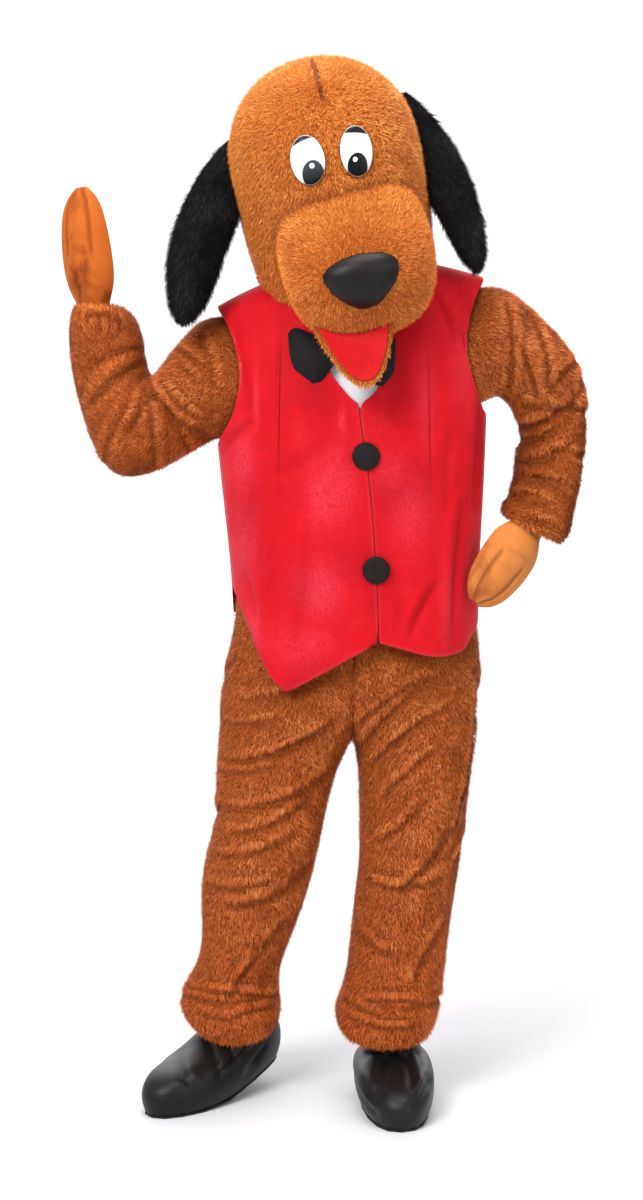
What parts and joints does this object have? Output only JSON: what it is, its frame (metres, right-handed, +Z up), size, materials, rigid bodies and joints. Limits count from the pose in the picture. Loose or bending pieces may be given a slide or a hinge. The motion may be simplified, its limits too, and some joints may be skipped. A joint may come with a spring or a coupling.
{
  "type": "dog mascot costume",
  "caption": "Empty dog mascot costume as worn: padded head, brown fur suit, red waistcoat, shirt front, bow tie, mitts and shoe covers, one arm raised and one hand on the hip.",
  "frame": {"origin": "the middle of the wearer's shoulders, where the suit and the head are carried", "axes": "+Z up, -Y the way the wearer faces, +X to the wearer's left"},
  "size_m": [0.9373, 0.4795, 1.8488],
  "materials": {
    "brown_fur": "long-pile fur cloth, combed down",
    "head_fur": "shorter fur cloth over foam",
    "black_fur": "long-pile black fur cloth",
    "red_velour": "crushed velour with a pale sheen",
    "red_satin": "satin lining cloth",
    "white_satin": "matt satin",
    "bow_velour": "stuffed black velour",
    "black_felt": "felt over a domed button",
    "red_felt": "felt",
    "black_cloth": "plain cloth with a soft sheen",
    "shoe_sole": "thin textured sole sheet",
    "white_vinyl": "printed vinyl disc",
    "tan_velour": "short-pile velour, wadded",
    "white_elastic": "ribbed elastic"
  },
  "bodies": {
    "root": {"bow_knot": "bow_velour", "bow_wing_left": "bow_velour", "bow_wing_right": "bow_velour", "button_1": "black_felt", "button_2": "black_felt", "ear_left": "black_fur", "ear_right": "black_fur", "eye_left": "white_vinyl", "eye_right": "white_vinyl", "head_back": "head_fur", "head_face": "head_fur", "jaw": "head_fur", "leg_left_back": "brown_fur", "leg_left_front": "brown_fur", "leg_right_back": "brown_fur", "leg_right_front": "brown_fur", "mitt_left": "tan_velour", "mitt_right": "tan_velour", "mitt_strap_left": "white_elastic", "mitt_strap_right": "white_elastic", "mouth_lining": "red_felt", "muzzle": "head_fur", "nose": "black_cloth", "shirt_front": "white_satin", "shoe_sole_left": "shoe_sole", "shoe_sole_right": "shoe_sole", "shoe_upper_left": "black_cloth", "shoe_upper_right": "black_cloth", "sleeve_left_back": "brown_fur", "sleeve_left_front": "brown_fur", "sleeve_right_back": "brown_fur", "sleeve_right_front": "brown_fur", "torso_back": "brown_fur", "torso_front": "brown_fur", "waistcoat_back": "red_satin", "waistcoat_front_left": "red_velour", "waistcoat_front_right": "red_velour"}
  },
  "joints": []
}
